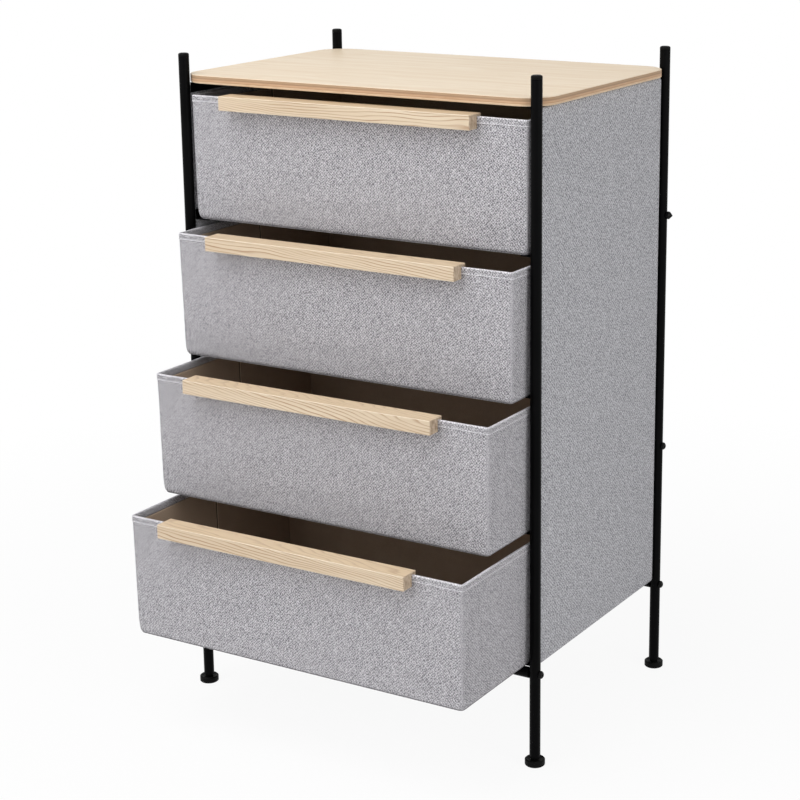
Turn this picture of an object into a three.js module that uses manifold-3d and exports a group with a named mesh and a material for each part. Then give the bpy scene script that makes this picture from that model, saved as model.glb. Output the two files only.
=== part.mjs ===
// Fabric drawer dresser: a welded black steel tube frame with a plywood top, fabric side panels and four
// fabric drawers that slide on steel angles and have a wooden grip hooked over the front edge.
// Millimetres, +Z up, the front faces -Y. The drawers stand open as far as in the photograph.

import * as THREE from "three";
import { mergeVertices } from "three/addons/utils/BufferGeometryUtils.js";
import Module from "manifold-3d";

const wasm = await Module();
wasm.setup();

// Frame: four round posts and the tubes across
const HEIGHT = 1000;
const POST_X = 296;
const POST_Y = 202;
const TUBE_RADIUS = 8;
const TUBE_WALL = 1.2;
const POST_BOTTOM = 13.5;
const CAP_HEIGHT = 5;
const RAIL_DROP = 8.3;
const MIDDLE_RAIL_Z = 374;
const RAIL_END_WALL = 20;

// Levelling feet
const FOOT_RADIUS = 14.8;
const FOOT_DISC = 10;
const STEM_RADIUS = 4;
const STEM_TOP = 36;

// Fasteners through the posts into the ends of the cross tubes
const SCREW_RADIUS = 3;
const SCREW_HEAD_RADIUS = 6;
const SCREW_HEAD_HEIGHT = 4.2;
const SCREW_LENGTH = 34;
const POINTED_HEAD_HEIGHT = 9;

// Plywood top
const BOARD_HALF_WIDTH = 305.5;
const BOARD_HALF_DEPTH = 204;
const BOARD_THICKNESS = 12;
const BOARD_TOP = 968.3;
const BOARD_CORNER = 43;
const BOARD_EDGE_ROUND = 0.8;

// Steel angles that carry the board and the drawers
const ANGLE_LEG = 15;
const ANGLE_FLANGE = 22;
const ANGLE_THICKNESS = 1.5;
const ANGLE_OUTER_X = 290.2;
const ANGLE_HALF_LENGTH = 196.2;

// Fabric side panels
const PANEL_OUTER_X = 296.5;
const PANEL_THICKNESS = 6;
const PANEL_HALF_LENGTH = 191;
const PANEL_BOTTOM = 150.8;
const PANEL_TOP_GAP = 1;
const PANEL_CORNER = 5;
const PANEL_EDGE_ROUND = 1.2;

// Drawers
const DRAWER_PITCH = 200.5;
const LOWEST_DRAWER_Z = 150.3;
const DRAWER_HEIGHT = 187;
const DRAWER_HALF_WIDTH = 285.5;
const DRAWER_FRONT_Y = -204;
const DRAWER_BACK_Y = 192;
const DRAWER_TAPER = 2.6;
const DRAWER_CORNER = 6;
const DRAWER_BOTTOM_ROUND = 6;
const DRAWER_WALL = 3.5;
const DRAWER_FLOOR = 3;
const RIM_THICKNESS = 5;
const RIM_ROUND = 1.4;
const RIM_BAND = 10.6;
const LINING_THICKNESS = 1.2;
const BASE_BOARD_THICKNESS = 4;
const DRAWER_OPENINGS = [0, 44, 110, 182];

// Wooden grips
const GRIP_LENGTH = 423;
const GRIP_SHIFT_X = -6;
const GRIP_DEPTH = 22;
const GRIP_DROP = 16.8;
const GRIP_RISE = 4.2;
const GRIP_LIP = 5;
const GRIP_LIP_DROP = 10;
const GRIP_ROUND = 1.2;
const GRIP_EDGE_ROUND = 0.9;

// Clearance between pieces that touch
const GAP = 0.3;

const ROUND_SIDES = 24;
const SCREW_SIDES = 12;
const SIDES = [["left", -1], ["right", 1]];
const ENDS = [["front", -1], ["rear", 1]];
const LOWEST_RAIL_Z = LOWEST_DRAWER_Z - GAP - RAIL_DROP;
const UPPER_RAIL_Z = LOWEST_RAIL_Z + 3 * DRAWER_PITCH;

const steelBlack = { color: 0x1b1c1d, roughness: 0.45, metalness: 0.6 };
const plasticBlack = { color: 0x161616, roughness: 0.55, metalness: 0.0 };
const screwBlack = { color: 0x232425, roughness: 0.35, metalness: 0.8 };
const plywood = { color: 0xe6d6bf, roughness: 0.5, metalness: 0.0 };
const gripWood = { color: 0xdec9a5, roughness: 0.55, metalness: 0.0 };
const greyFabric = { color: 0xb0aeb2, roughness: 0.95, metalness: 0.0 };
const panelFabric = { color: 0xa3a3a8, roughness: 0.95, metalness: 0.0 };
const liningFabric = { color: 0x5a5148, roughness: 0.9, metalness: 0.0 };
const baseFabric = { color: 0x6a6258, roughness: 0.9, metalness: 0.0 };

// Merges shared corners, drops empty triangles and turns the faces outwards.
function closedBody(geometry) {
  const bare = geometry.clone();
  bare.deleteAttribute("normal");
  bare.deleteAttribute("uv");
  const merged = mergeVertices(bare, 1e-4);
  const place = merged.getAttribute("position");
  const corners = [];
  let volume = 0;
  for (let i = 0; i < merged.index.count; i += 3) {
    const [a, b, c] = [0, 1, 2].map((k) => merged.index.getX(i + k));
    if (a === b || b === c || a === c) continue;
    const [pa, pb, pc] = [a, b, c].map((v) => new THREE.Vector3().fromBufferAttribute(place, v));
    volume += pa.dot(pb.cross(pc));
    corners.push(a, b, c);
  }
  if (volume < 0) {
    for (let i = 0; i < corners.length; i += 3) {
      [corners[i], corners[i + 1]] = [corners[i + 1], corners[i]];
    }
  }
  merged.setIndex(corners);
  return merged;
}

function toSolid(geometry) {
  const body = closedBody(geometry);
  return new wasm.Manifold(new wasm.Mesh({
    numProp: 3,
    vertProperties: new Float32Array(body.getAttribute("position").array),
    triVerts: new Uint32Array(body.index.array),
  }));
}

function fromSolid(solid) {
  const mesh = solid.getMesh();
  const geometry = new THREE.BufferGeometry();
  geometry.setAttribute("position", new THREE.BufferAttribute(new Float32Array(mesh.vertProperties), 3));
  geometry.setIndex(new THREE.BufferAttribute(new Uint32Array(mesh.triVerts), 1));
  return geometry;
}

function named(name, geometry, look) {
  const body = closedBody(geometry);
  body.computeVertexNormals();
  const mesh = new THREE.Mesh(body, new THREE.MeshStandardMaterial(look));
  mesh.name = name;
  return mesh;
}

// Turns a profile of [radius, height] pairs about the Z axis.
function turned(profile, sides = ROUND_SIDES) {
  const points = profile.map(([radius, height]) => new THREE.Vector2(radius, height));
  const geometry = new THREE.LatheGeometry(points, sides);
  geometry.rotateX(Math.PI / 2);
  return geometry;
}

// Extrudes an outline given in (across, up) and lays it along X or Y.
function extrudedAlong(axis, outline, length, edgeRound = 0, curveSegments = 4) {
  const geometry = new THREE.ExtrudeGeometry(outline, {
    depth: length - 2 * edgeRound,
    curveSegments,
    bevelEnabled: edgeRound > 0,
    bevelSize: edgeRound,
    bevelThickness: edgeRound,
    bevelOffset: -edgeRound,
    bevelSegments: 1,
  });
  geometry.translate(0, 0, edgeRound - length / 2);
  const up = new THREE.Vector3(0, 0, 1);
  const alongX = new THREE.Matrix4().makeBasis(new THREE.Vector3(0, 1, 0), up, new THREE.Vector3(1, 0, 0));
  const alongY = new THREE.Matrix4().makeBasis(new THREE.Vector3(1, 0, 0), up, new THREE.Vector3(0, -1, 0));
  if (axis === "x") geometry.applyMatrix4(alongX);
  if (axis === "y") geometry.applyMatrix4(alongY);
  return geometry;
}

// Outline of a rectangle with round corners.
function roundedRectangle(left, right, low, high, radius) {
  const outline = new THREE.Shape();
  outline.moveTo(left + radius, low);
  outline.lineTo(right - radius, low);
  outline.absarc(right - radius, low + radius, radius, -Math.PI / 2, 0);
  outline.lineTo(right, high - radius);
  outline.absarc(right - radius, high - radius, radius, 0, Math.PI / 2);
  outline.lineTo(left + radius, high);
  outline.absarc(left + radius, high - radius, radius, Math.PI / 2, Math.PI);
  outline.lineTo(left, low + radius);
  outline.absarc(left + radius, low + radius, radius, Math.PI, 1.5 * Math.PI);
  return outline;
}

// One level of a box with round upright corners, pulled in by inset all round.
const CORNER_STEPS = 4;
function boxRing(halfWidth, front, back, radius, inset, z) {
  const corner = Math.max(radius - inset, 0.6);
  const right = halfWidth - inset;
  const centres = [
    [right - corner, front + inset + corner, -Math.PI / 2],
    [right - corner, back - inset - corner, 0],
    [-right + corner, back - inset - corner, Math.PI / 2],
    [-right + corner, front + inset + corner, Math.PI],
  ];
  const ring = [];
  for (const [x, y, start] of centres) {
    for (let step = 0; step <= CORNER_STEPS; step += 1) {
      const angle = start + (Math.PI / 2) * (step / CORNER_STEPS);
      ring.push(new THREE.Vector3(x + corner * Math.cos(angle), y + corner * Math.sin(angle), z));
    }
  }
  return ring;
}

// Skins a stack of rings and closes both ends flat.
function loft(rings) {
  const count = rings[0].length;
  const positions = rings.flat().flatMap((p) => [p.x, p.y, p.z]);
  const faces = [];
  for (let level = 0; level < rings.length - 1; level += 1) {
    for (let k = 0; k < count; k += 1) {
      const a = level * count + k;
      const b = level * count + ((k + 1) % count);
      faces.push(a, b, b + count, a, b + count, a + count);
    }
  }
  const last = (rings.length - 1) * count;
  for (let k = 1; k < count - 1; k += 1) {
    faces.push(0, k + 1, k);
    faces.push(last, last + k, last + k + 1);
  }
  const geometry = new THREE.BufferGeometry();
  geometry.setAttribute("position", new THREE.Float32BufferAttribute(positions, 3));
  geometry.setIndex(faces);
  return geometry;
}

// Post: a round tube, drilled crosswise where a cross tube is bolted to it.
function postGeometry(holeHeights) {
  const inner = TUBE_RADIUS - TUBE_WALL;
  const top = HEIGHT - CAP_HEIGHT;
  const tube = turned([
    [inner, POST_BOTTOM], [TUBE_RADIUS, POST_BOTTOM], [TUBE_RADIUS, top], [inner, top], [inner, POST_BOTTOM],
  ]);
  let solid = toSolid(tube);
  for (const height of holeHeights) {
    const drill = new THREE.CylinderGeometry(SCREW_RADIUS + 0.2, SCREW_RADIUS + 0.2, 4 * TUBE_RADIUS, SCREW_SIDES);
    drill.rotateZ(Math.PI / 2);
    drill.translate(0, 0, height);
    solid = solid.subtract(toSolid(drill));
  }
  return fromSolid(solid);
}

// Cap: a plastic plug pushed into the tube, with a low domed head as wide as the post.
function capGeometry() {
  const plug = TUBE_RADIUS - TUBE_WALL - 0.2;
  const seat = HEIGHT - CAP_HEIGHT + 0.2;
  return turned([
    [0, seat - 15], [plug - 0.6, seat - 15], [plug, seat - 13], [plug, seat], [TUBE_RADIUS, seat],
    [TUBE_RADIUS, HEIGHT - 2.4], [TUBE_RADIUS - 0.8, HEIGHT - 0.9], [TUBE_RADIUS - 2.6, HEIGHT - 0.2], [0, HEIGHT],
  ]);
}

// Levelling foot: a round pad with a bevelled rim on a threaded stem.
function footGeometry() {
  const hubRadius = 6;
  return turned([
    [0, 0], [FOOT_RADIUS - 1.2, 0], [FOOT_RADIUS, 1.2], [FOOT_RADIUS, FOOT_DISC - 1.4],
    [FOOT_RADIUS - 1.6, FOOT_DISC], [hubRadius + 2.4, FOOT_DISC - 1.8], [hubRadius, FOOT_DISC - 1.8],
    [hubRadius, POST_BOTTOM - 3.3], [STEM_RADIUS, POST_BOTTOM - 3.3], [STEM_RADIUS, STEM_TOP - 0.8],
    [STEM_RADIUS - 0.8, STEM_TOP], [0, STEM_TOP],
  ]);
}

// Insert: the threaded plug in the lower end of a post, with a collar below the tube.
function footInsertGeometry() {
  const bore = STEM_RADIUS + 0.25;
  const body = TUBE_RADIUS - TUBE_WALL - 0.2;
  const collar = TUBE_RADIUS - 0.9;
  const low = POST_BOTTOM - 3;
  return turned([
    [bore, low], [collar - 0.5, low], [collar, low + 0.6], [collar, POST_BOTTOM - 0.2], [body, POST_BOTTOM - 0.2],
    [body, STEM_TOP + 2], [bore, STEM_TOP + 2], [bore, low],
  ]);
}

// Cross tube: a round tube with a threaded plug welded into each end.
function railGeometry() {
  const end = POST_X - TUBE_RADIUS - GAP;
  const bore = SCREW_RADIUS + 0.2;
  const hollow = TUBE_RADIUS - TUBE_WALL;
  const inside = end - RAIL_END_WALL;
  const rail = turned([
    [bore, -end], [TUBE_RADIUS, -end], [TUBE_RADIUS, end], [bore, end], [bore, inside], [hollow, inside],
    [hollow, -inside], [bore, -inside], [bore, -end],
  ]);
  rail.rotateY(Math.PI / 2);
  return rail;
}

// Screw with its head outwards along +X. The head is a button with a socket, or a pointed cap.
function screwGeometry(pointed) {
  const shank = [[0, -SCREW_LENGTH], [SCREW_RADIUS - 0.5, -SCREW_LENGTH], [SCREW_RADIUS, -SCREW_LENGTH + 0.8],
    [SCREW_RADIUS, 0], [SCREW_HEAD_RADIUS, 0]];
  const button = [[SCREW_HEAD_RADIUS, 1.2], [SCREW_HEAD_RADIUS - 0.9, 3], [SCREW_HEAD_RADIUS - 2.5, SCREW_HEAD_HEIGHT],
    [2.3, SCREW_HEAD_HEIGHT], [2.1, 1.8], [0, 1.8]];
  const point = [[SCREW_HEAD_RADIUS, 3.6], [SCREW_HEAD_RADIUS - 0.5, 4.2], [0.8, POINTED_HEAD_HEIGHT - 0.1],
    [0, POINTED_HEAD_HEIGHT]];
  const screw = turned(shank.concat(pointed ? point : button), SCREW_SIDES);
  screw.rotateY(Math.PI / 2);
  return screw;
}

// Steel angle along Y: an upright leg against the side panel and a flange that points inwards.
function angleGeometry(side, flangeAtTop) {
  const outer = side * ANGLE_OUTER_X;
  const web = side * (ANGLE_OUTER_X - ANGLE_THICKNESS);
  const inner = side * (ANGLE_OUTER_X - ANGLE_FLANGE);
  const flat = flangeAtTop ? ANGLE_LEG : 0;
  const step = flangeAtTop ? ANGLE_LEG - ANGLE_THICKNESS : ANGLE_THICKNESS;
  const free = flangeAtTop ? 0 : ANGLE_LEG;
  const outline = new THREE.Shape([
    new THREE.Vector2(outer, flat), new THREE.Vector2(inner, flat), new THREE.Vector2(inner, step),
    new THREE.Vector2(web, step), new THREE.Vector2(web, free), new THREE.Vector2(outer, free),
  ]);
  return extrudedAlong("y", outline, 2 * ANGLE_HALF_LENGTH);
}

// Plywood top: one board whose large round corners pass inside the posts.
function boardGeometry() {
  const outline = roundedRectangle(
    -BOARD_HALF_WIDTH, BOARD_HALF_WIDTH, -BOARD_HALF_DEPTH, BOARD_HALF_DEPTH, BOARD_CORNER);
  const board = new THREE.ExtrudeGeometry(outline, {
    depth: BOARD_THICKNESS - 2 * BOARD_EDGE_ROUND,
    curveSegments: 10,
    bevelSize: BOARD_EDGE_ROUND,
    bevelThickness: BOARD_EDGE_ROUND,
    bevelOffset: -BOARD_EDGE_ROUND,
    bevelSegments: 1,
  });
  board.translate(0, 0, BOARD_TOP - BOARD_THICKNESS + BOARD_EDGE_ROUND);
  return board;
}

// Side panel: a thin stiff board in a fabric cover that fills the space between two posts.
function panelGeometry(side) {
  const top = BOARD_TOP - BOARD_THICKNESS - PANEL_TOP_GAP;
  const outline = roundedRectangle(-PANEL_HALF_LENGTH, PANEL_HALF_LENGTH, PANEL_BOTTOM, top, PANEL_CORNER);
  const panel = extrudedAlong("x", outline, PANEL_THICKNESS, PANEL_EDGE_ROUND);
  panel.translate(side * (PANEL_OUTER_X - PANEL_THICKNESS / 2), 0, 0);
  return panel;
}

// A level of a drawer at a height above its bottom. The walls lean in a little towards the floor.
function drawerRing(inset, height) {
  const lean = DRAWER_TAPER * (1 - height / DRAWER_HEIGHT);
  return boxRing(DRAWER_HALF_WIDTH, DRAWER_FRONT_Y, DRAWER_BACK_Y, DRAWER_CORNER, inset + lean, height);
}

// Drawer cover: grey fabric over stiff boards, doubled over the rim and down inside it.
function drawerCoverGeometry() {
  const round = DRAWER_BOTTOM_ROUND;
  const half = round * (1 - Math.SQRT1_2);
  const top = DRAWER_HEIGHT;
  const bandFoot = top - RIM_BAND;
  return loft([
    drawerRing(round, 0), drawerRing(half, half), drawerRing(0, round),
    drawerRing(0, top - RIM_ROUND), drawerRing(RIM_ROUND, top),
    drawerRing(RIM_THICKNESS - RIM_ROUND, top), drawerRing(RIM_THICKNESS, top - RIM_ROUND),
    drawerRing(RIM_THICKNESS, bandFoot), drawerRing(DRAWER_WALL, bandFoot - 0.4),
    drawerRing(DRAWER_WALL, DRAWER_FLOOR),
  ]);
}

// Drawer lining: a thin taupe cloth box inside the cover, up to the foot of the rim band.
function drawerLiningGeometry() {
  const outside = DRAWER_WALL + GAP;
  const inside = outside + LINING_THICKNESS;
  const low = DRAWER_FLOOR + GAP;
  const high = DRAWER_HEIGHT - RIM_BAND - 0.4 - GAP;
  return loft([
    drawerRing(outside, low), drawerRing(outside, high), drawerRing(inside, high),
    drawerRing(inside, low + LINING_THICKNESS),
  ]);
}

// Base board: a loose stiff board in the lining cloth that keeps the drawer's floor flat.
function drawerBaseGeometry() {
  const inset = DRAWER_WALL + GAP + LINING_THICKNESS + 1.2;
  const low = DRAWER_FLOOR + 2 * GAP + LINING_THICKNESS;
  const high = low + BASE_BOARD_THICKNESS;
  return loft([
    drawerRing(inset + 1, low), drawerRing(inset, low + 1), drawerRing(inset, high - 1), drawerRing(inset + 1, high),
  ]);
}

// Grip: a wooden bar grooved along its underside, so that it sits over the drawer's front rim.
function gripGeometry() {
  const rim = DRAWER_HEIGHT;
  const front = DRAWER_FRONT_Y - GRIP_DEPTH;
  const grooveFront = DRAWER_FRONT_Y - GAP;
  const grooveBack = DRAWER_FRONT_Y + RIM_THICKNESS + GAP;
  const back = grooveBack + GRIP_LIP;
  const low = rim - GRIP_DROP;
  const high = rim + GRIP_RISE;
  const outline = new THREE.Shape();
  outline.moveTo(front + GRIP_ROUND, low);
  outline.lineTo(grooveFront, low);
  outline.lineTo(grooveFront, rim + GAP);
  outline.lineTo(grooveBack, rim + GAP);
  outline.lineTo(grooveBack, rim - GRIP_LIP_DROP);
  outline.lineTo(back, rim - GRIP_LIP_DROP);
  outline.lineTo(back, high - GRIP_ROUND);
  outline.absarc(back - GRIP_ROUND, high - GRIP_ROUND, GRIP_ROUND, 0, Math.PI / 2);
  outline.lineTo(front + GRIP_ROUND, high);
  outline.absarc(front + GRIP_ROUND, high - GRIP_ROUND, GRIP_ROUND, Math.PI / 2, Math.PI);
  outline.lineTo(front, low + GRIP_ROUND);
  outline.absarc(front + GRIP_ROUND, low + GRIP_ROUND, GRIP_ROUND, Math.PI, 1.5 * Math.PI);
  const grip = extrudedAlong("x", outline, GRIP_LENGTH, GRIP_EDGE_ROUND);
  grip.translate(GRIP_SHIFT_X, 0, 0);
  return grip;
}

// Frame group: everything that stands still.
function buildFrame() {
  const frame = new THREE.Group();
  for (const [end, endSign] of ENDS) {
    for (const [side, sideSign] of SIDES) {
      const corner = new THREE.Group();
      const heights = end === "front" ? [LOWEST_RAIL_Z] : [LOWEST_RAIL_Z, MIDDLE_RAIL_Z, UPPER_RAIL_Z];
      corner.position.set(sideSign * POST_X, endSign * POST_Y, 0);
      corner.add(named(`post_${end}_${side}`, postGeometry(heights), steelBlack));
      corner.add(named(`post_cap_${end}_${side}`, capGeometry(), plasticBlack));
      corner.add(named(`foot_insert_${end}_${side}`, footInsertGeometry(), plasticBlack));
      corner.add(named(`foot_${end}_${side}`, footGeometry(), plasticBlack));
      frame.add(corner);
    }
  }

  const rails = [
    ["bottom_front", -POST_Y, LOWEST_RAIL_Z, false],
    ["bottom_rear", POST_Y, LOWEST_RAIL_Z, false],
    ["middle_rear", POST_Y, MIDDLE_RAIL_Z, false],
    ["upper_rear", POST_Y, UPPER_RAIL_Z, true],
  ];
  for (const [place, y, z, pointed] of rails) {
    const rail = named(`rail_${place}`, railGeometry(), steelBlack);
    rail.position.set(0, y, z);
    frame.add(rail);
    for (const [side, sign] of SIDES) {
      const screw = named(`screw_${place}_${side}`, screwGeometry(pointed), screwBlack);
      screw.position.set(sign * (POST_X + TUBE_RADIUS + GAP), y, z);
      screw.rotation.z = sign > 0 ? 0 : Math.PI;
      frame.add(screw);
    }
  }

  for (const [side, sign] of SIDES) {
    const topAngle = named(`top_angle_${side}`, angleGeometry(sign, true), steelBlack);
    topAngle.position.z = BOARD_TOP - BOARD_THICKNESS - GAP - ANGLE_LEG;
    frame.add(topAngle);
    for (let level = 1; level <= DRAWER_OPENINGS.length; level += 1) {
      const runner = named(`runner_${level}_${side}`, angleGeometry(sign, false), steelBlack);
      runner.position.z = drawerZ(level) - GAP - ANGLE_THICKNESS;
      frame.add(runner);
    }
    frame.add(named(`side_panel_${side}`, panelGeometry(sign), panelFabric));
  }
  frame.add(named("top_board", boardGeometry(), plywood));
  return frame;
}

// Height of a drawer's underside. Drawer 1 is the top one.
function drawerZ(level) {
  return LOWEST_DRAWER_Z + (DRAWER_OPENINGS.length - level) * DRAWER_PITCH;
}

// One drawer: cover, lining, base board and grip, drawn out by its opening.
function buildDrawer(level) {
  const drawer = new THREE.Group();
  drawer.position.set(0, -DRAWER_OPENINGS[level - 1], drawerZ(level));
  drawer.add(named(`drawer_${level}_cover`, drawerCoverGeometry(), greyFabric));
  drawer.add(named(`drawer_${level}_lining`, drawerLiningGeometry(), liningFabric));
  drawer.add(named(`drawer_${level}_base_board`, drawerBaseGeometry(), baseFabric));
  drawer.add(named(`drawer_${level}_grip`, gripGeometry(), gripWood));
  return drawer;
}

// The origin lies on the floor in the middle of the whole outline, with the drawers open as shown.
const furthestFront = DRAWER_FRONT_Y - Math.max(...DRAWER_OPENINGS) - GRIP_DEPTH;
const furthestBack = POST_Y + FOOT_RADIUS;
const dresser = new THREE.Group();
dresser.position.y = -(furthestFront + furthestBack) / 2;
dresser.add(buildFrame());
for (let level = 1; level <= DRAWER_OPENINGS.length; level += 1) {
  dresser.add(buildDrawer(level));
}

export default dresser;
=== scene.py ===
# Fabric drawer dresser. Metres, +Z up, the front faces -Y.
# The steel, plastic and wooden pieces keep their solids and get a finish.
# The cloth pieces are built here, in the same places as their plain solids.
import math

import bmesh
import bpy
import numpy as np
from mathutils import Matrix, Vector, noise


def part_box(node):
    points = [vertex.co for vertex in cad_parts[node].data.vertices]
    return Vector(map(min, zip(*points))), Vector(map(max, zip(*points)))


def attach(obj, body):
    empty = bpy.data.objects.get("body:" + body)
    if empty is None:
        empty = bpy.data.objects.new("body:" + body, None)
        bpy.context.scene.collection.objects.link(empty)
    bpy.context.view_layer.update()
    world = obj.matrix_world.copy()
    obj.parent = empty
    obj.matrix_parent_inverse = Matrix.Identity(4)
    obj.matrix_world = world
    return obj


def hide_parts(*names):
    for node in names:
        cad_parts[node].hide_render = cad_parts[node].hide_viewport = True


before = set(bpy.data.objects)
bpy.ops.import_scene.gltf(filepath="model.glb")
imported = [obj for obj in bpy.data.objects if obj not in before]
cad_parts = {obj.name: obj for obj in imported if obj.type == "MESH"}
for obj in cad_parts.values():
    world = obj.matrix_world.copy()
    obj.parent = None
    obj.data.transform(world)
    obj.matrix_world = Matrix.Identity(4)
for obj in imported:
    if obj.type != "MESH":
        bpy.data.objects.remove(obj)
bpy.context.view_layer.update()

# The photograph: taken from the front right with a long lens, a little above the top board.
# The frame was cut from a larger picture, which the lens shift follows.
CAMERA_PLACE = (1.5467, -2.4203, 1.3163)
CAMERA_RIGHT = Vector((0.86105, 0.50848, -0.00696))
CAMERA_UP = Vector((-0.12140, 0.21882, 0.96818))
camera_data = bpy.data.cameras.new("photo_camera")
camera_data.sensor_width = 36.0
camera_data.lens = 88.98
camera_data.shift_x = -0.075
camera_data.shift_y = -0.075
camera_data.clip_end = 50.0
camera = bpy.data.objects.new("photo_camera", camera_data)
bpy.context.scene.collection.objects.link(camera)
camera_turn = Matrix((CAMERA_RIGHT, CAMERA_UP, CAMERA_RIGHT.cross(CAMERA_UP))).transposed()
camera.matrix_world = Matrix.Translation(CAMERA_PLACE) @ camera_turn.to_4x4()
bpy.context.scene.camera = camera
bpy.context.scene.view_settings.view_transform = "Standard"

# The studio: a pale floor that runs out of sight, and three wide soft lights: one above the front,
# one further off in front at nearly twice the dresser's height, and one at the right.
WHITE = (1, 1, 1, 1)
ROOM_LIGHT_IN_FRONT = 0.60
ROOM_LIGHT_BEHIND = 0.26
FLOOR_PAINT = (0.88, 0.88, 0.88, 1)
FLOOR_HALF = 9.0
SHADOW_NEAR = 0.5
SHADOW_FAR = 1.7
GLOW_IN_SHADOW = 0.92
LIGHT_SIZE = 1.8


def add_node(tree, kind, inputs=None, **settings):
    """One shader node, with its settings, and its inputs either set or linked."""
    node = tree.nodes.new(kind)
    for name, value in settings.items():
        setattr(node, name, value)
    for key, value in (inputs or {}).items():
        if isinstance(value, bpy.types.NodeSocket):
            tree.links.new(value, node.inputs[key])
        else:
            node.inputs[key].default_value = value
    return node


def calculate(tree, operation, *values):
    """The result of one sum on numbers or sockets."""
    return add_node(tree, "ShaderNodeMath", dict(enumerate(values)), operation=operation).outputs[0]


def spread(tree, value, low, high, to_low, to_high):
    """The value stretched from one range to another, and held inside it."""
    inputs = {0: value, 1: low, 2: high, 3: to_low, 4: to_high}
    return add_node(tree, "ShaderNodeMapRange", inputs).outputs[0]


def seen_directly(tree):
    """1 for what the camera sees, straight or in a shiny surface, and 0 for soft light."""
    path = add_node(tree, "ShaderNodeLightPath").outputs
    mirrored = calculate(tree, "MAXIMUM", path["Is Glossy Ray"], path["Is Transmission Ray"])
    return calculate(tree, "MAXIMUM", path["Is Camera Ray"], mirrored)


world = bpy.data.worlds.new("studio")
bpy.context.scene.world = world
world.use_nodes = True
world_tree = world.node_tree
world_tree.nodes.clear()
# The room's soft light is stronger in front than behind.
room_way = add_node(world_tree, "ShaderNodeTexCoord").outputs["Generated"]
room_depth = add_node(world_tree, "ShaderNodeSeparateXYZ", {0: room_way}).outputs[1]
room_light = spread(world_tree, room_depth, -0.7, 0.7, ROOM_LIGHT_IN_FRONT, ROOM_LIGHT_BEHIND)
soft_room = add_node(world_tree, "ShaderNodeBackground", {"Color": WHITE, "Strength": room_light})
white_wall = add_node(world_tree, "ShaderNodeBackground", {"Color": WHITE, "Strength": 1.0})
room = add_node(world_tree, "ShaderNodeMixShader", {
    0: seen_directly(world_tree), 1: soft_room.outputs[0], 2: white_wall.outputs[0]})
add_node(world_tree, "ShaderNodeOutputWorld", {0: room.outputs[0]})

floor_finish = bpy.data.materials.new("studio_floor")
floor_finish.use_nodes = True
floor_tree = floor_finish.node_tree
floor_tree.nodes.clear()
floor_paint = add_node(floor_tree, "ShaderNodeBsdfDiffuse", {"Color": FLOOR_PAINT})
floor_glow = add_node(floor_tree, "ShaderNodeEmission", {"Color": WHITE, "Strength": 1.0})
# Near the dresser the floor shows some of its shadow, and it fades to plain white further off.
floor_place = add_node(floor_tree, "ShaderNodeTexCoord").outputs["Object"]
floor_distance = add_node(floor_tree, "ShaderNodeVectorMath", {0: floor_place}, operation="LENGTH")
glow_share = calculate(
    floor_tree, "MULTIPLY", seen_directly(floor_tree),
    spread(floor_tree, floor_distance.outputs["Value"], SHADOW_NEAR, SHADOW_FAR, GLOW_IN_SHADOW, 1.0))
floor_mix = add_node(floor_tree, "ShaderNodeMixShader", {
    0: glow_share, 1: floor_paint.outputs[0], 2: floor_glow.outputs[0]})
add_node(floor_tree, "ShaderNodeOutputMaterial", {0: floor_mix.outputs[0]})

floor_corners = [(x * FLOOR_HALF, y * FLOOR_HALF, 0) for x, y in ((-1, -1), (1, -1), (1, 1), (-1, 1))]
floor_mesh = bpy.data.meshes.new("studio_floor")
floor_mesh.from_pydata(floor_corners, [], [(0, 1, 2, 3)])
floor_mesh.materials.append(floor_finish)
floor = bpy.data.objects.new("studio_floor", floor_mesh)
bpy.context.scene.collection.objects.link(floor)


def soft_light(name, place, aim, power):
    """A wide square lamp that faces the aim."""
    lamp_data = bpy.data.lights.new(name, "AREA")
    lamp_data.size = LIGHT_SIZE
    lamp_data.energy = power
    lamp = bpy.data.objects.new(name, lamp_data)
    bpy.context.scene.collection.objects.link(lamp)
    lamp.location = place
    lamp.rotation_euler = (Vector(aim) - Vector(place)).to_track_quat("-Z", "Y").to_euler()


soft_light("overhead_light", place=(-0.5, -1.3, 2.9), aim=(0, -0.1, 0.45), power=35)
soft_light("front_light", place=(-0.9, -3.1, 1.8), aim=(0, 0, 0.4), power=25)
soft_light("right_light", place=(3.2, -0.9, 1.5), aim=(0, 0, 0.5), power=30)

# The steel: round tube posts with cross tubes between them, and the angles that carry the board
# and the drawers. Welded or bolted up, and powder coated in satin black.
CORNERS = ("front_left", "front_right", "rear_left", "rear_right")
RAILS = ("bottom_front", "bottom_rear", "middle_rear", "upper_rear")
SIDES = ("left", "right")
LEVELS = (1, 2, 3, 4)


def colour(red, green, blue):
    """A colour read from 0 to 255 as the linear one that a shader takes."""
    linear = [((value / 255 + 0.055) / 1.055) ** 2.4 for value in (red, green, blue)]
    return (*linear, 1.0)


def start_finish(name, base, roughness, specular):
    """A new material with its plain values, its node tree and its shader."""
    finish = bpy.data.materials.new(name)
    finish.use_nodes = True
    shader = finish.node_tree.nodes["Principled BSDF"]
    shader.inputs["Base Color"].default_value = base
    shader.inputs["Roughness"].default_value = roughness
    shader.inputs["Specular IOR Level"].default_value = specular
    return finish, finish.node_tree, shader


def object_place(tree, scale=(1.0, 1.0, 1.0)):
    """The place on the piece, in metres times the scale."""
    place = add_node(tree, "ShaderNodeTexCoord").outputs["Object"]
    return add_node(tree, "ShaderNodeVectorMath", {0: place, 1: scale}, operation="MULTIPLY").outputs[0]


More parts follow.
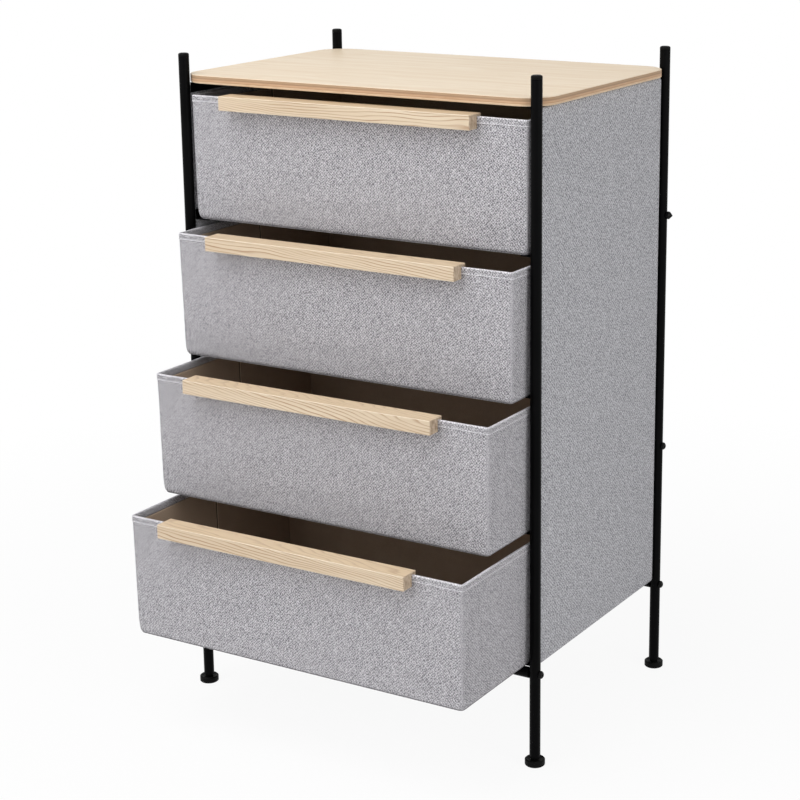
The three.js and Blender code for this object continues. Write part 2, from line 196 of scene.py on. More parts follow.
def noise_value(tree, place, scale=1.0, detail=2.0, roughness=0.5):
    """Cloudy noise from 0 to 1 with that many clouds per unit of place."""
    inputs = {"Vector": place, "Scale": scale, "Detail": detail, "Roughness": roughness}
    return add_node(tree, "ShaderNodeTexNoise", inputs).outputs["Fac"]


def blend_colours(tree, share, first, second):
    """Two colours, or sockets of colour, blended by the share."""
    return add_node(tree, "ShaderNodeMix", {0: share, 6: first, 7: second}, data_type="RGBA").outputs[2]


def patchy_colour(tree, patches, low, high, first, second, most=1.0):
    """The first colour, which turns to the second where the patches rise from low to high."""
    return blend_colours(tree, spread(tree, patches, low, high, 0, most), first, second)


def vary_roughness(tree, shader, patches, smoothest, roughest, patches_from=0.3):
    """A finish that is rougher where the patches are high. They lie mostly below 0.7."""
    roughness = spread(tree, patches, patches_from, 0.7, smoothest, roughest)
    tree.links.new(roughness, shader.inputs["Roughness"])


def add_relief(tree, shader, height, depth, strength):
    """Small relief from a height of 0 to 1, as deep as given in metres."""
    relief = add_node(tree, "ShaderNodeBump", {"Strength": strength, "Distance": depth, "Height": height})
    tree.links.new(relief.outputs[0], shader.inputs["Normal"])


def dress(name, finish, smooth_below=50):
    """Gives a solid its finish, and shades it round where its faces meet at a small angle."""
    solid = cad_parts[name]
    solid.data.materials.clear()
    solid.data.materials.append(finish)
    solid.data.shade_smooth()
    solid.data.set_sharp_from_angle(angle=math.radians(smooth_below))


powder_coat, steel_tree, steel_shader = start_finish(
    "satin_black_powder_coat", colour(5, 5, 6), roughness=0.32, specular=0.04)
coat_grain = noise_value(steel_tree, object_place(steel_tree), scale=2600)
coat_patches = noise_value(steel_tree, object_place(steel_tree), scale=14, detail=3.0)
coat_colour = patchy_colour(steel_tree, coat_patches, 0.35, 0.65, colour(3, 3, 4), colour(7, 7, 8))
steel_tree.links.new(coat_colour, steel_shader.inputs["Base Color"])
vary_roughness(steel_tree, steel_shader, coat_patches, smoothest=0.28, roughest=0.38)
add_relief(steel_tree, steel_shader, coat_grain, depth=0.00006, strength=0.7)
for corner in CORNERS:
    dress("post_" + corner, powder_coat)
for rail in RAILS:
    dress("rail_" + rail, powder_coat)
for side in SIDES:
    dress("top_angle_" + side, powder_coat)
    for level in LEVELS:
        dress("runner_%d_%s" % (level, side), powder_coat)

# The caps, the threaded inserts and the levelling feet: moulded black plastic. The caps and
# inserts are pressed into the posts, and each foot turns on its thread in an insert.
moulded_black, plastic_tree, plastic_shader = start_finish(
    "moulded_black", colour(9, 9, 9), roughness=0.5, specular=0.07)
mould_grain = noise_value(plastic_tree, object_place(plastic_tree), scale=1500, detail=3.0)
dust = noise_value(plastic_tree, object_place(plastic_tree), scale=60, detail=4.0)
plastic_colour = patchy_colour(plastic_tree, dust, 0.45, 0.75, colour(7, 7, 7), colour(15, 15, 14))
plastic_tree.links.new(plastic_colour, plastic_shader.inputs["Base Color"])
vary_roughness(plastic_tree, plastic_shader, mould_grain, smoothest=0.42, roughest=0.6)
add_relief(plastic_tree, plastic_shader, mould_grain, depth=0.00008, strength=0.6)
for corner in CORNERS:
    dress("post_cap_" + corner, moulded_black)
    dress("foot_insert_" + corner, moulded_black)
    dress("foot_" + corner, moulded_black, smooth_below=35)

# The screws: steel with black oxide, driven through the posts into the ends of the cross tubes.
# Turning marks run round each head.
black_oxide, screw_tree, screw_shader = start_finish(
    "black_oxide", colour(9, 9, 9), roughness=0.34, specular=0.10)
turning_marks = noise_value(screw_tree, object_place(screw_tree, (1.0, 8.0, 8.0)), scale=500, detail=3.0)
vary_roughness(screw_tree, screw_shader, turning_marks, smoothest=0.26, roughest=0.42)
add_relief(screw_tree, screw_shader, turning_marks, depth=0.00005, strength=0.5)
for rail in RAILS:
    for side in SIDES:
        dress("screw_%s_%s" % (rail, side), black_oxide, smooth_below=30)

# The top: plywood with a pale maple veneer on both faces and bare brown plies at the edge.
# It rests on the top angles, its round corners just clear of the posts.
BOARD_LOW, BOARD_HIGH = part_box("top_board")
VENEER_PALE = colour(240, 223, 198)
VENEER_WARM = colour(231, 210, 182)
VENEER_PORE = colour(208, 184, 154)
PLY_GRAIN = colour(172, 136, 104)
# The plies' colours, from the board's underside at 0 to its top at 1.
PLIES = (
    (0.0, (214, 186, 154)), (0.20, (222, 196, 164)), (0.30, (190, 152, 120)), (0.44, (206, 172, 140)),
    (0.54, (190, 156, 125)), (0.62, (158, 129, 103)), (0.74, (180, 152, 123)), (0.92, (176, 147, 118)),
    (0.985, (236, 219, 196)),
)
plywood, ply_tree, ply_shader = start_finish(
    "pale_plywood", colour(232, 214, 189), roughness=0.5, specular=0.15)
# The veneer's figure: long faint streaks along the board, and short pores in them.
streak_bends = add_node(ply_tree, "ShaderNodeTexNoise", {"Vector": object_place(ply_tree), "Scale": 5.0})
streak_place = add_node(ply_tree, "ShaderNodeVectorMath", {
    0: object_place(ply_tree, (1.6, 26.0, 1.0)), 1: streak_bends.outputs["Color"]}, operation="ADD")
streaks = noise_value(ply_tree, streak_place.outputs[0], scale=2.4, detail=5.0, roughness=0.6)
pores = noise_value(ply_tree, object_place(ply_tree, (30.0, 900.0, 900.0)))
veneer = patchy_colour(ply_tree, streaks, 0.35, 0.68, VENEER_PALE, VENEER_WARM)
veneer = patchy_colour(ply_tree, pores, 0.62, 0.8, veneer, VENEER_PORE, most=0.35)
# The edge: thin pale faces, three brown plies, and grain that runs along them.
board_height = add_node(ply_tree, "ShaderNodeSeparateXYZ", {0: object_place(ply_tree)}).outputs[2]
ply_bands = add_node(ply_tree, "ShaderNodeValToRGB", {
    "Fac": spread(ply_tree, board_height, BOARD_LOW.z, BOARD_HIGH.z, 0, 1)})
ply_bands.color_ramp.interpolation = "EASE"
while len(ply_bands.color_ramp.elements) < len(PLIES):
    ply_bands.color_ramp.elements.new(0.5)
for stop, (position, shade) in zip(ply_bands.color_ramp.elements, PLIES):
    stop.position = position
    stop.color = colour(*shade)
edge_grain = noise_value(ply_tree, object_place(ply_tree, (60.0, 60.0, 700.0)), detail=3.0)
ply_edge = patchy_colour(ply_tree, edge_grain, 0.35, 0.7, ply_bands.outputs[0], PLY_GRAIN, most=0.5)
board_facing = add_node(ply_tree, "ShaderNodeTexCoord").outputs["Normal"]
board_facing_up = add_node(ply_tree, "ShaderNodeSeparateXYZ", {0: board_facing}).outputs[2]
flatness = calculate(ply_tree, "ABSOLUTE", board_facing_up)
board_colour = patchy_colour(ply_tree, flatness, 0.55, 0.75, ply_edge, veneer)
ply_tree.links.new(board_colour, ply_shader.inputs["Base Color"])
vary_roughness(ply_tree, ply_shader, streaks, smoothest=0.38, roughest=0.5)
add_relief(ply_tree, ply_shader, pores, depth=0.00005, strength=0.35)
dress("top_board", plywood, smooth_below=30)

# The side panels: a stiff board in the same grey cloth as the drawers, its edges wrapped over.
# They fill each side between the posts, up to a thin dark gap under the board, and are screwed on.
SHADOW_GAP = 0.0014
PANEL_CORNER = 0.005
PANEL_STEP = 0.02
PANEL_YARN = 0.0028
# How far in from the outline, and how far through the panel, from its inner face at 0 round the
# edge to its outer face at 1. The cloth turns over the edge where it is nearer than TURNED_EDGE.
TURNED_EDGE = 0.005
PANEL_PROFILE = (
    (0.060, 0.03), (0.012, 0.03), (0.0016, 0.06), (0.0005, 0.16), (0.0, 0.35), (0.0, 0.65),
    (0.0005, 0.84), (0.0016, 0.94), (0.004, 0.97), (0.012, 0.985), (0.040, 1.0), (0.120, 1.0),
    (0.185, 1.0),
)
# The weave: how often per yarn its place wanders, and how far; how many slubs per metre across and
# up the cloth, and clouds of dye; and how much slubs and clouds change the tone.
WANDERS_PER_YARN = 0.63
YARN_WANDER = 9.0
SLUBS = (240.0, 14.0, 0.0)
DYE_CLOUDS = 55.0
SLUB_TONE = 0.04
CLOUD_TONE = 0.03


def linen(name, light, dark, yarn_pitch):
    """Plain-woven heather cloth: pale and dark yarns cross in turn, each a little out of its place.
    Thick places run up the warp as faint streaks, and the dye is a little cloudy."""
    finish, tree, shader = start_finish(name, light, roughness=0.92, specular=0.12)
    shader.inputs["Sheen Weight"].default_value = 0.1
    shader.inputs["Sheen Roughness"].default_value = 0.6
    place = add_node(tree, "ShaderNodeTexCoord").outputs["UV"]
    place_parts = add_node(tree, "ShaderNodeSeparateXYZ", {0: place})
    wander = add_node(tree, "ShaderNodeTexNoise", {
        "Vector": place, "Scale": WANDERS_PER_YARN / yarn_pitch, "Detail": 1.0})
    wander_parts = add_node(tree, "ShaderNodeSeparateXYZ", {0: wander.outputs["Color"]})
    yarns = []
    for axis in (0, 1):
        even = calculate(tree, "MULTIPLY", place_parts.outputs[axis], math.pi / yarn_pitch)
        shift = calculate(tree, "MULTIPLY", wander_parts.outputs[axis], YARN_WANDER)
        yarns.append(calculate(tree, "SINE", calculate(tree, "ADD", even, shift)))
    weave = spread(tree, calculate(tree, "MULTIPLY", *yarns), -0.75, 0.75, 0, 1)
    slub_place = add_node(tree, "ShaderNodeVectorMath", {0: place, 1: SLUBS}, operation="MULTIPLY")
    slubs = noise_value(tree, slub_place.outputs[0])
    clouds = noise_value(tree, place, scale=DYE_CLOUDS)
    tone = calculate(tree, "ADD", weave, spread(tree, slubs, 0.3, 0.7, -SLUB_TONE, SLUB_TONE))
    tone = calculate(tree, "ADD", tone, spread(tree, clouds, 0.3, 0.7, -CLOUD_TONE, CLOUD_TONE))
    tree.links.new(patchy_colour(tree, tone, 0.08, 0.92, dark, light), shader.inputs["Base Color"])
    add_relief(tree, shader, weave, depth=0.0002, strength=0.25)
    return finish


def wrap_in_cloth(name, rings, uv, finishes, body, solid, bands=None):
    """A closed skin of cloth through rings of points, which takes the place of a plain solid.
    The bands give some levels another of the finishes than the first."""
    levels, count = rings.shape[:2]
    faces = []
    corners_uv = []
    slots = []
    for level in range(levels - 1):
        here = level * count
        above = here + count
        for k in range(count):
            after = (k + 1) % count
            faces.append((here + k, here + after, above + after, above + k))
            corners_uv += [uv[level, k], uv[level, k + 1], uv[level + 1, k + 1], uv[level + 1, k]]
            slots.append((bands or {}).get(level, 0))
    faces.append(tuple(reversed(range(count))))
    corners_uv += [uv[0, k] for k in reversed(range(count))]
    faces.append(tuple((levels - 1) * count + k for k in range(count)))
    corners_uv += [uv[-1, k] for k in range(count)]
    mesh = bpy.data.meshes.new(name)
    mesh.from_pydata([tuple(point) for point in rings.reshape(-1, 3)], [], faces)
    layer = mesh.uv_layers.new(name="cloth")
    layer.data.foreach_set("uv", np.array(corners_uv, dtype=np.float32).ravel())
    for finish in finishes:
        mesh.materials.append(finish)
    mesh.polygons.foreach_set("material_index", slots + [0, 0])
    merged = bmesh.new()
    merged.from_mesh(mesh)
    bmesh.ops.remove_doubles(merged, verts=merged.verts, dist=0.000001)
    merged.to_mesh(mesh)
    merged.free()
    mesh.shade_smooth()
    piece = bpy.data.objects.new(name, mesh)
    bpy.context.scene.collection.objects.link(piece)
    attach(piece, body)
    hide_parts(solid)


def round_outline(left, right, low, high, radius, spacing):
    """Points, outward directions and distances round a rectangle with round corners.
    It starts in the middle of the high side and goes round by way of the left."""
    corner_steps = 6
    corners = ((left + radius, high - radius, 90), (left + radius, low + radius, 180),
               (right - radius, low + radius, 270), (right - radius, high - radius, 0))
    straights = ((right - left) / 2, high - low, right - left, high - low)
    points = [((left + right) / 2, high, 0.0, 1.0)]
    for (x, y, turned), straight in zip(corners, straights):
        across = math.cos(math.radians(turned))
        along = math.sin(math.radians(turned))
        last = points[-1]
        steps = max(int(straight / spacing), 2)
        for step in range(1, steps):
            share = step / steps
            points.append((last[0] + (x + radius * across - last[0]) * share,
                           last[1] + (y + radius * along - last[1]) * share, across, along))
        for step in range(corner_steps + 1):
            angle = math.radians(turned + 90 * step / corner_steps)
            points.append((x + radius * math.cos(angle), y + radius * math.sin(angle),
                           math.cos(angle), math.sin(angle)))
    last = points[-1]
    steps = max(int((right - left) / 2 / spacing), 2)
    for step in range(1, steps):
        points.append((last[0] + (points[0][0] - last[0]) * step / steps, last[1], 0.0, 1.0))
    points = np.array(points)
    gaps = np.linalg.norm(np.roll(points[:, :2], -1, axis=0) - points[:, :2], axis=1)
    distance = np.concatenate([[0.0], np.cumsum(gaps)])
    return points[:, :2], points[:, 2:], distance


def drawn_in(place, outward, inset):
    """The outline moved in by the inset. A corner rounder than that stays round, others turn sharp."""
    low_edge = place.min(axis=0) + inset
    high_edge = place.max(axis=0) - inset
    return np.clip(place - outward * inset, low_edge, high_edge)


panel_cloth = linen("side_panel_linen", colour(206, 206, 210), colour(126, 125, 130), PANEL_YARN)
for side in SIDES:
    low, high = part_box("side_panel_" + side)
    place, outward, distance = round_outline(
        low.y, high.y, low.z, high.z - SHADOW_GAP, PANEL_CORNER, PANEL_STEP)
    thick = high.x - low.x
    rings = []
    uvs = []
    for inset, through in PANEL_PROFILE:
        flat = drawn_in(place, outward, inset)
        x = low.x + thick * (through if side == "right" else 1 - through)
        rings.append(np.column_stack([np.full(len(flat), x), flat]))
        uvs.append(flat + outward * (thick * (1 - through) if inset < TURNED_EDGE else 0))
    rings = np.array(rings)
    uvs = np.array(uvs)
    if side == "right":
        rings = rings[:, ::-1]
        uvs = uvs[:, ::-1]
    uvs = np.concatenate([uvs, uvs[:, :1]], axis=1)
    wrap_in_cloth("side_panel_cloth_" + side, rings, uvs, [panel_cloth], "frame", "side_panel_" + side)

# The drawer covers: a sewn box of grey cloth over stiff boards. The cloth is doubled over the rim
# as a hem, stitched below it, and ends in a band inside. The side boards fold in the middle.
HEM = 0.0102
STITCHES_ABOVE_HEM_FOOT = 0.0030
RIM_THICK = 0.005
INNER_BAND = 0.0106
WALL_LEAN = 0.0026
WALL_INSET = 0.0009
COVER_CORNER = 0.0055
COVER_STEP = 0.0055
BOTTOM_CORNER_EXTRA = 0.0075
BOTTOM_CORNER_HEIGHT = 0.022
COVER_WAVES = 0.0007
FOLD_DEPTH = 0.0007
FOLD_WIDTH = 0.0025
FACES_SIDEWAYS = 0.9
RIM_WANDER = 0.0005
DRAWER_YARN = 0.00225
drawer_cloth = linen("drawer_linen", colour(209, 207, 211), colour(106, 104, 109), DRAWER_YARN)
# A paler copy of the cloth for the hem's lower fold and the rim's top: a painted highlight.
fold_highlight_cloth = linen("drawer_linen_at_folds", colour(242, 240, 244), colour(166, 164, 170), DRAWER_YARN)
# A darker copy of the cloth for the groove of the bottom seam: painted shade.
seam_shade_cloth = linen("drawer_linen_in_seam", colour(138, 136, 140), colour(78, 77, 80), DRAWER_YARN)
FOLD_HIGHLIGHT = 1
SEAM_SHADE = 2
sewing_thread, thread_tree, thread_shader = start_finish(
    "grey_sewing_thread", colour(205, 204, 208), roughness=0.7, specular=0.2)
thread_twist = noise_value(thread_tree, object_place(thread_tree), scale=1800)
thread_colour = blend_colours(thread_tree, thread_twist, colour(172, 171, 176), colour(222, 221, 225))
thread_tree.links.new(thread_colour, thread_shader.inputs["Base Color"])


def softness(x, y, z, strength):
    """How far cloth stands off its board at a place: slow waves with small dents in them."""
    waves = noise.noise(Vector((x * 9, y * 9, z * 13)))
    dents = noise.noise(Vector((x * 34, y * 34, z * 40)))
    return strength * (waves + 0.4 * dents)


def wall_rings(profile, low, high):
    """Rings of a drawer's cloth from (height, inset, looseness) rows, leaning in downwards.
    The upright corners are tight, and turn rounder where they meet the bottom."""
    height = high.z - low.z
    fold_y = (low.y + high.y) / 2
    rings = []
    for z, inset, loose in profile:
        radius = COVER_CORNER + BOTTOM_CORNER_EXTRA * max(0.0, 1 - z / BOTTOM_CORNER_HEIGHT) ** 2
        place, outward, distance = round_outline(low.x, high.x, low.y, high.y, radius, COVER_STEP)
        flat = drawn_in(place, outward, inset + WALL_LEAN * (1 - z / height))
        ring = []
        for (x, y), (across, along) in zip(flat, outward):
            crease = 0.0
            if abs(across) > FACES_SIDEWAYS:
                crease = FOLD_DEPTH * math.exp(-((y - fold_y) / FOLD_WIDTH) ** 2)
            off = softness(x, y, low.z + z, COVER_WAVES * loose) - crease * loose
            lift = RIM_WANDER * noise.noise(Vector((x * 12, y * 12, low.z * 7))) * (z / height) ** 4
            ring.append((x + across * off, y + along * off, low.z + z + lift))
        rings.append(ring)
    return np.array(rings), distance


def cloth_uv(rings, distance):
    """Distance round the walls across, and distance up them upwards.
    A step up is as long as the ring's middle or a point of its rear wall moves, whichever is more."""
    rear_point = 3
    middle_steps = np.linalg.norm(np.diff(rings.mean(axis=1), axis=0), axis=1)
    rear_steps = np.linalg.norm(rings[1:, rear_point] - rings[:-1, rear_point], axis=1)
    climb = np.concatenate([[0.0], np.cumsum(np.maximum(rear_steps, middle_steps))])
    uv = np.zeros((len(rings), len(distance), 2))
    uv[:, :, 0] = distance
    uv[:, :, 1] = climb[:, None]
    return uv


def stitches(name, path, outward, body):
    """A row of short sewn stitches along a closed path on the cloth."""
    pitch = 0.0036
    half = 0.0013
    radius = 0.00028
    proud = 0.00015
    sides = 5
    # How far along from the stitch's middle, and how thick there.
    shape = ((-half, 0.25), (-half * 0.6, 1.0), (half * 0.6, 1.0), (half, 0.25))
    verts = []
    faces = []
    carried = 0.0
    for start, end, way in zip(path, np.roll(path, -1, axis=0), outward):
        step = end - start
        length = np.linalg.norm(step)
        along = step / max(length, 1e-9)
        out = np.array([way[0], way[1], 0.0])
        side = np.cross(along, out)
        t = carried
        while t < length:
            middle = start + along * t + out * proud
            first = len(verts)
            for offset, size in shape:
                for k in range(sides):
                    angle = 2 * math.pi * k / sides
                    around = math.cos(angle) * out + math.sin(angle) * side
                    verts.append(tuple(middle + along * offset + radius * size * around))
            for ring in range(len(shape) - 1):
                here = first + ring * sides
                for k in range(sides):
                    after = (k + 1) % sides
                    faces.append((here + k, here + after, here + after + sides, here + k + sides))
            faces.append(tuple(reversed(range(first, first + sides))))
            faces.append(tuple(range(len(verts) - sides, len(verts))))
            t += pitch
        carried = t - length
    mesh = bpy.data.meshes.new(name)
    mesh.from_pydata(verts, [], faces)
    mesh.materials.append(sewing_thread)
    mesh.shade_smooth()
    piece = bpy.data.objects.new(name, mesh)
    bpy.context.scene.collection.objects.link(piece)
    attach(piece, body)


for level in LEVELS:
    low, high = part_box("drawer_%d_cover" % level)
    height = high.z - low.z
    hem_foot = height - HEM
    band_foot = height - INNER_BAND
    # Height above the drawer's underside, distance in from the outer face, and looseness.
    # The seam round the bottom lies between the rows 6 and 8, and its groove gets a darker copy of the
    # cloth as painted shade.
    bottom = [
        (0.0, 0.150, 0), (0.0, 0.060, 0), (0.0, 0.016, 0), (0.0, 0.0070, 0), (0.0006, 0.0042, 0),
        (0.0014, 0.0026, 0.1), (0.0020, 0.0022, 0.1), (0.0024, 0.0034, 0.1), (0.0031, 0.0020, 0.1),
        (0.0045, 0.0012, 0.2), (0.0075, WALL_INSET, 0.4),
    ]
    wall = [(z, WALL_INSET, 1.0) for z in np.linspace(0.012, hem_foot - 0.004, 16)]
    below_hem = [(hem_foot - 0.0010, 0.0010, 0.8), (hem_foot - 0.0002, 0.0014, 0.8)]
    hem = [
        (hem_foot + 0.0004, 0.0004, 0.8), (hem_foot + 0.0011, 0.0, 0.8), (hem_foot + 0.0019, 0.0001, 0.8),
        (hem_foot + STITCHES_ABOVE_HEM_FOOT, 0.0010, 0.8), (hem_foot + 0.0042, 0.0005, 0.8),
        (height - 0.0030, 0.0003, 0.8),
    ]
    rim = [
        (height - 0.0014, 0.0003, 0.8), (height - 0.0005, 0.0007, 0.8), (height, 0.0017, 0.8),
        (height, RIM_THICK - 0.0016, 0.8), (height - 0.0006, RIM_THICK - 0.0005, 0.8),
        (height - 0.0016, RIM_THICK, 0.8),
    ]
    inside = [
        (band_foot + 0.001, RIM_THICK, 0.6), (band_foot, RIM_THICK - 0.0005, 0.6),
        (band_foot - 0.0004, RIM_THICK - 0.0013, 0.4), (0.004, 0.0036, 0.0), (0.0034, 0.060, 0.0),
        (0.0034, 0.150, 0.0),
    ]
    hem_level = len(bottom) + len(wall) + len(below_hem)
    rim_level = hem_level + len(hem)
    # The rows at the hem's lower fold and the rim's top carry the painted highlight.
    bands = {6: SEAM_SHADE, 7: SEAM_SHADE, hem_level: FOLD_HIGHLIGHT, hem_level + 1: FOLD_HIGHLIGHT,
             rim_level: FOLD_HIGHLIGHT, rim_level + 1: FOLD_HIGHLIGHT, rim_level + 2: FOLD_HIGHLIGHT}
    rings, distance = wall_rings(bottom + wall + below_hem + hem + rim + inside, low, high)
    body = "drawer_%d" % level
    wrap_in_cloth("drawer_%d_cloth" % level, rings, cloth_uv(rings, distance),
                  [drawer_cloth, fold_highlight_cloth, seam_shade_cloth], body, "drawer_%d_cover" % level, bands)
    seam = wall_rings([(hem_foot + STITCHES_ABOVE_HEM_FOOT, 0.0010, 0.8)], low, high)[0][0]
    outward = round_outline(low.x, high.x, low.y, high.y, COVER_CORNER, COVER_STEP)[1]
    stitches("drawer_%d_hem_stitches" % level, seam, outward, body)

# The linings: thin taupe non-woven cloth glued to the inside of the boards, up to the rim band.
# A raised seam stands up the middle of each side, where the boards fold, and a painted highlight and a
# painted shadow line run along the fold.
LINING_CORNER = 0.004
LINING_STEP = 0.0024
LINING_WAVES = 0.0003
SEAM_HEIGHT = 0.0011
SEAM_WIDTH = 0.0016
GROOVE_DEPTH = 0.0006
GROOVE_WIDTH = 0.002
GROOVE_PAST_SEAM = 0.0042
LINE_SHARE = 0.85
LINING_DARK = colour(166, 145, 125)
LINING_PALE = colour(190, 169, 149)
LINING_WORN = colour(157, 136, 116)
# A painted highlight as a pale line and painted shade as a dark line: how far before the fold, full
# within, gone beyond, and the colour.
FOLD_HIGHLIGHT_AND_SHADE = ((0.0028, 0.0010, 0.0018, colour(236, 220, 200)), (0.0, 0.0009, 0.0016, colour(74, 62, 50)))
lining_cloth, lining_tree, lining_shader = start_finish(
    "taupe_nonwoven", colour(178, 157, 137), roughness=0.85, specular=0.12)
fibres = noise_value(lining_tree, object_place(lining_tree), scale=900, detail=4.0, roughness=0.7)
worn_patches = noise_value(lining_tree, object_place(lining_tree), scale=22, detail=3.0)
lining_colour = patchy_colour(lining_tree, fibres, 0.3, 0.7, LINING_DARK, LINING_PALE)
lining_colour = patchy_colour(lining_tree, worn_patches, 0.35, 0.7, lining_colour, LINING_WORN, most=0.25)
# The side walls fold a quarter and three quarters of the way round, so once in each half turn.
low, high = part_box("drawer_1_lining")
way_round = round_outline(low.x, high.x, low.y, high.y, LINING_CORNER, LINING_STEP)[2][-1]
lining_uv = add_node(lining_tree, "ShaderNodeTexCoord").outputs["UV"]
lining_around = add_node(lining_tree, "ShaderNodeSeparateXYZ", {0: lining_uv}).outputs[0]
half_turns = calculate(lining_tree, "MULTIPLY", lining_around, 2 / way_round)
past_fold = calculate(lining_tree, "SUBTRACT", calculate(lining_tree, "FRACT", half_turns), 0.5)
past_fold = calculate(lining_tree, "MULTIPLY", past_fold, way_round / 2)
for before, full, gone, shade in FOLD_HIGHLIGHT_AND_SHADE:
    off_line = calculate(lining_tree, "ABSOLUTE", calculate(lining_tree, "ADD", past_fold, before))
    on_line = spread(lining_tree, off_line, full, gone, LINE_SHARE, 0)
    lining_colour = blend_colours(lining_tree, on_line, lining_colour, shade)
lining_tree.links.new(lining_colour, lining_shader.inputs["Base Color"])
add_relief(lining_tree, lining_shader, fibres, depth=0.00012, strength=0.5)
for level in LEVELS:
    low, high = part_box("drawer_%d_lining" % level)
    height = high.z - low.z
    cover_low, cover_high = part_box("drawer_%d_cover" % level)
    fold_y = (cover_low.y + cover_high.y) / 2
    place, outward, distance = round_outline(low.x, high.x, low.y, high.y, LINING_CORNER, LINING_STEP)
    rings = []
    # Height above the lining's underside, and distance in from its outer face.
    for z, inset in ((0.0, 0.05), (0.0, 0.001), (0.004, 0.0), (height, 0.0), (height, 0.0011),
                     (height - 0.003, 0.0012), (height * 0.66, 0.0012), (height * 0.33, 0.0012),
                     (0.006, 0.0014), (0.0016, 0.004), (0.0013, 0.03), (0.0013, 0.15)):
        on_wall = inset > 0.001 and z > 0.003
        below_rim = z < height - 0.01
        ring = []
        flat = drawn_in(place, outward, inset + WALL_LEAN * (1 - z / height))
        for (x, y), (across, along) in zip(flat, outward):
            off = 0.0
            if on_wall and abs(across) > FACES_SIDEWAYS:
                off = -SEAM_HEIGHT * math.exp(-((y - fold_y) / SEAM_WIDTH) ** 2)
                off += GROOVE_DEPTH * math.exp(-((y - fold_y - GROOVE_PAST_SEAM) / GROOVE_WIDTH) ** 2)
            if on_wall and below_rim:
                off += softness(x, y, z, LINING_WAVES) - LINING_WAVES
            ring.append((x + across * off, y + along * off, low.z + z))
        rings.append(ring)
    rings = np.array(rings)
    wrap_in_cloth("drawer_%d_lining_cloth" % level, rings, cloth_uv(rings, distance), [lining_cloth],
                  "drawer_%d" % level, "drawer_%d_lining" % level)

# The base boards: a loose stiff board in the lining's cloth, laid on the floor of each drawer.
# Its edges are soft where the cloth turns over them, and painted a little paler from halfway up to the
# top, as a highlight.
BASE_CORNER = 0.006
BASE_STEP = 0.02
# The edge rows from halfway up to the top face get the paler cloth: a painted highlight.
EDGE_HIGHLIGHT_BANDS = {3: 1, 4: 1, 5: 1}
# How far up through the board, from 0 to 1, and how far in from its outline.
BASE_PROFILE = (
    (0.0, 0.100), (0.0, 0.0016), (0.2, 0.0005), (0.5, 0.0), (0.8, 0.0005), (0.97, 0.0016), (1.0, 0.0035),
    (1.0, 0.012), (0.98, 0.040), (0.97, 0.100),
)


def board_cloth(name, light, dark):
    """The lining's non-woven cloth, stretched over a flat board."""
    finish, tree, shader = start_finish(name, light, roughness=0.85, specular=0.12)
    fuzz = noise_value(tree, object_place(tree), scale=700, detail=4.0, roughness=0.7)
    tree.links.new(patchy_colour(tree, fuzz, 0.3, 0.7, dark, light), shader.inputs["Base Color"])
    add_relief(tree, shader, fuzz, depth=0.00012, strength=0.5)
    return finish


base_cloth = board_cloth("taupe_board_cloth", colour(198, 183, 170), colour(176, 161, 148))
edge_highlight_cloth = board_cloth("taupe_board_cloth_painted_edge_highlight", colour(240, 222, 204), colour(216, 198, 180))
for level in LEVELS:
    low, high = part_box("drawer_%d_base_board" % level)
    thick = high.z - low.z
    place, outward, distance = round_outline(low.x, high.x, low.y, high.y, BASE_CORNER, BASE_STEP)
    rings = []
    for through, inset in BASE_PROFILE:
        flat = drawn_in(place, outward, inset)
        rings.append(np.column_stack([flat, np.full(len(flat), low.z + thick * through)]))
    rings = np.array(rings)
    wrap_in_cloth("drawer_%d_base_board_cloth" % level, rings, cloth_uv(rings, distance),
                  [base_cloth, edge_highlight_cloth], "drawer_%d" % level, "drawer_%d_base_board" % level,
                  EDGE_HIGHLIGHT_BANDS)

# The grips: solid ash bars, grooved below to hook over the front rim, sanded and left bare.
# Growth rings run the length of each bar, so the front shows long lines and arches.
ASH_PALE = colour(221, 204, 179)
ASH_WARM = colour(210, 190, 163)
ASH_ON_TOP = colour(232, 205, 168)
ASH_LATE_WOOD = colour(166, 130, 100)
ASH_PORE = colour(188, 163, 134)
ASH_EDGE_HIGHLIGHT = colour(246, 237, 220)
END_PALE = colour(204, 185, 162)
END_DARK = colour(140, 116, 92)
# How many growth rings are passed per metre up a bar and into it, how many along it where the bar
# was sawn out of level, and by how many rings they wander.
RINGS_UP = 240.0
RINGS_INWARD = 110.0
RINGS_BY_SLANT = 130.0
SAWN_LEVEL = 0.42
RING_WANDER = 10.0
ash, ash_tree, ash_shader = start_finish("sanded_ash", colour(222, 202, 173), roughness=0.5, specular=0.3)
along_bar, into_bar, up_bar = add_node(
    ash_tree, "ShaderNodeSeparateXYZ", {0: object_place(ash_tree)}).outputs
ring_wander = noise_value(ash_tree, object_place(ash_tree, (3.0, 16.0, 16.0)), detail=3.0)
bar_slope = noise_value(ash_tree, object_place(ash_tree, (0.9, 0.0, 6.5)), detail=0.0)
ring_slant = calculate(ash_tree, "SUBTRACT", bar_slope, SAWN_LEVEL)
ring_slant = calculate(ash_tree, "MULTIPLY", ring_slant, RINGS_BY_SLANT)
rings_passed = calculate(ash_tree, "MULTIPLY", up_bar, RINGS_UP)
for way, rate in ((into_bar, RINGS_INWARD), (along_bar, ring_slant), (ring_wander, RING_WANDER)):
    more_rings = calculate(ash_tree, "MULTIPLY", way, rate)
    rings_passed = calculate(ash_tree, "ADD", rings_passed, more_rings)
ring_age = calculate(ash_tree, "FRACT", rings_passed)
line_start = spread(ash_tree, ring_age, 0.6, 0.88, 0, 1)
line_end = spread(ash_tree, ring_age, 0.9, 1.0, 1, 0)
late_wood = calculate(ash_tree, "MULTIPLY", line_start, line_end)
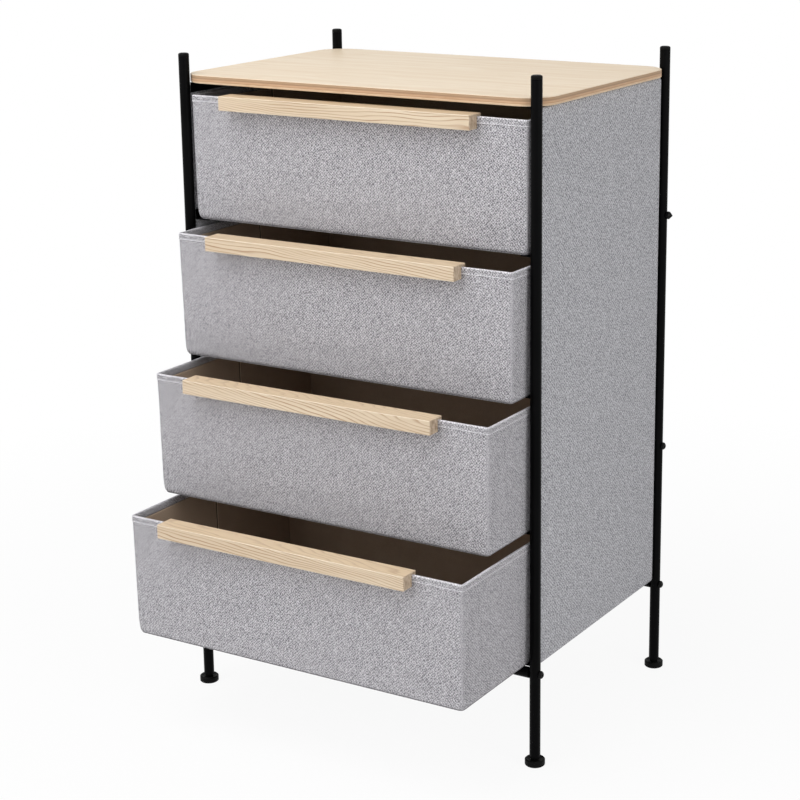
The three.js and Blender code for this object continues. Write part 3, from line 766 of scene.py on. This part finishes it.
# The lines come and go along a bar, and show less on its top.
line_strength = noise_value(ash_tree, object_place(ash_tree, (7.0, 60.0, 90.0)))
line_strength = spread(ash_tree, line_strength, 0.35, 0.55, 0.4, 1.0)
ash_normal = add_node(ash_tree, "ShaderNodeTexCoord").outputs["Normal"]
facing_end, facing_front, facing_up = add_node(ash_tree, "ShaderNodeSeparateXYZ", {0: ash_normal}).outputs
on_top = spread(ash_tree, facing_up, 0.6, 0.9, 0, 1)
late_wood = calculate(ash_tree, "MULTIPLY", late_wood, line_strength)
late_wood = calculate(ash_tree, "MULTIPLY", late_wood, spread(ash_tree, on_top, 0, 1, 1.0, 0.4))
ash_pores = noise_value(ash_tree, object_place(ash_tree, (36.0, 1300.0, 1300.0)), detail=3.0)
pores_by_age = spread(ash_tree, ring_age, 0.3, 0.9, 0.2, 0.7)
pore_share = calculate(ash_tree, "MULTIPLY", spread(ash_tree, ash_pores, 0.5, 0.75, 0, 1), pores_by_age)
bar_tones = noise_value(ash_tree, object_place(ash_tree, (4.0, 30.0, 60.0)))
ash_colour = patchy_colour(ash_tree, bar_tones, 0.3, 0.7, ASH_PALE, ASH_WARM)
ash_colour = blend_colours(ash_tree, calculate(ash_tree, "MULTIPLY", on_top, 0.6), ash_colour, ASH_ON_TOP)
ash_colour = blend_colours(ash_tree, late_wood, ash_colour, ASH_LATE_WOOD)
ash_colour = blend_colours(ash_tree, pore_share, ash_colour, ASH_PORE)
# The long rounded edges are painted paler as a highlight, and the ends show the pores end on, which
# darkens them.
edge_highlight_share = calculate(ash_tree, "ABSOLUTE", calculate(ash_tree, "MULTIPLY", facing_front, facing_up))
ash_colour = patchy_colour(ash_tree, edge_highlight_share, 0.15, 0.4, ash_colour, ASH_EDGE_HIGHLIGHT, most=0.4)
end_lines = noise_value(ash_tree, object_place(ash_tree, (1.0, 900.0, 120.0)))
end_wood = patchy_colour(ash_tree, end_lines, 0.4, 0.6, END_PALE, END_DARK)
endness = calculate(ash_tree, "ABSOLUTE", facing_end)
ash_colour = patchy_colour(ash_tree, endness, 0.6, 0.9, ash_colour, end_wood, most=0.85)
ash_tree.links.new(ash_colour, ash_shader.inputs["Base Color"])
vary_roughness(ash_tree, ash_shader, ash_pores, smoothest=0.42, roughest=0.58, patches_from=0.4)
add_relief(ash_tree, ash_shader, ash_pores, depth=0.0001, strength=0.4)
for level in LEVELS:
    dress("drawer_%d_grip" % level, ash, smooth_below=20)
